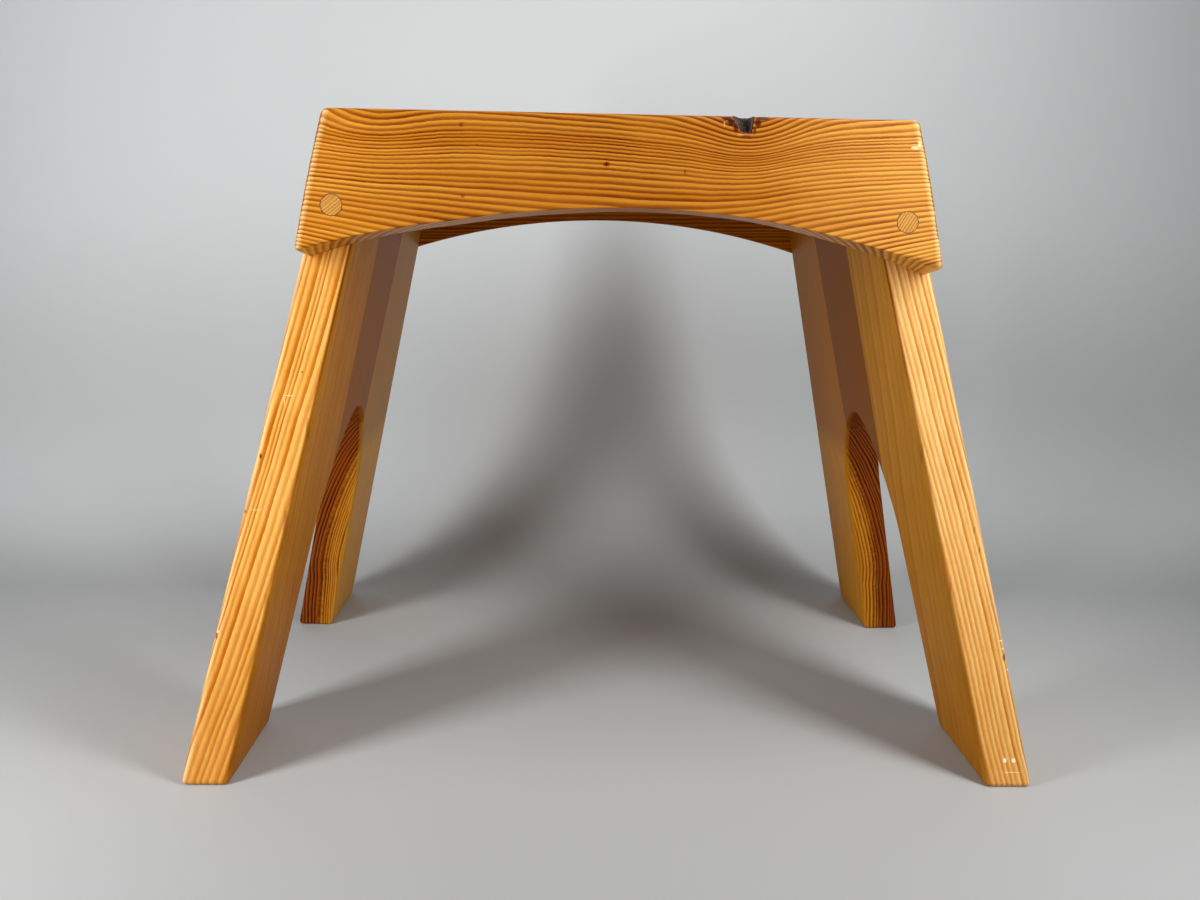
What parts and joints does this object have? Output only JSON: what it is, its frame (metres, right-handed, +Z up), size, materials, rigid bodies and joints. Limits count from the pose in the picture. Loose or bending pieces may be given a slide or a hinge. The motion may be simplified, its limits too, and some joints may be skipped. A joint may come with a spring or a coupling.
{
  "type": "wooden stool",
  "caption": "Low pine stool: splayed leg panels notched into feet, pegged arched rails along both long sides, and a flat seat of glued boards.",
  "frame": {"origin": "on the floor under the middle of the stool", "axes": "+X along the seat's length, towards the right leg panel; +Y across it, from the front rail with the knot hollow to the rear rail; +Z up"},
  "size_m": [0.5248, 0.3424, 0.4],
  "materials": {
    "leg_pine": "satin clear lacquer",
    "leg_heartwood": "satin clear lacquer",
    "rail_pine": "satin clear lacquer",
    "peg_birch": "satin clear lacquer",
    "dowel_birch": "bare, glued in",
    "seat_pine": "satin clear lacquer"
  },
  "bodies": {
    "root": {"left_leg_front_stave": "leg_pine", "left_leg_middle_stave": "leg_heartwood", "left_leg_rear_stave": "leg_pine", "right_leg_front_stave": "leg_pine", "right_leg_middle_stave": "leg_heartwood", "right_leg_rear_stave": "leg_pine", "front_rail": "rail_pine", "rear_rail": "rail_pine", "front_left_peg": "peg_birch", "front_right_peg": "peg_birch", "rear_left_peg": "peg_birch", "rear_right_peg": "peg_birch", "front_left_seat_dowel": "dowel_birch", "front_right_seat_dowel": "dowel_birch", "rear_left_seat_dowel": "dowel_birch", "rear_right_seat_dowel": "dowel_birch", "front_seat_board": "seat_pine", "middle_seat_board": "seat_pine", "rear_seat_board": "seat_pine"}
  },
  "joints": []
}
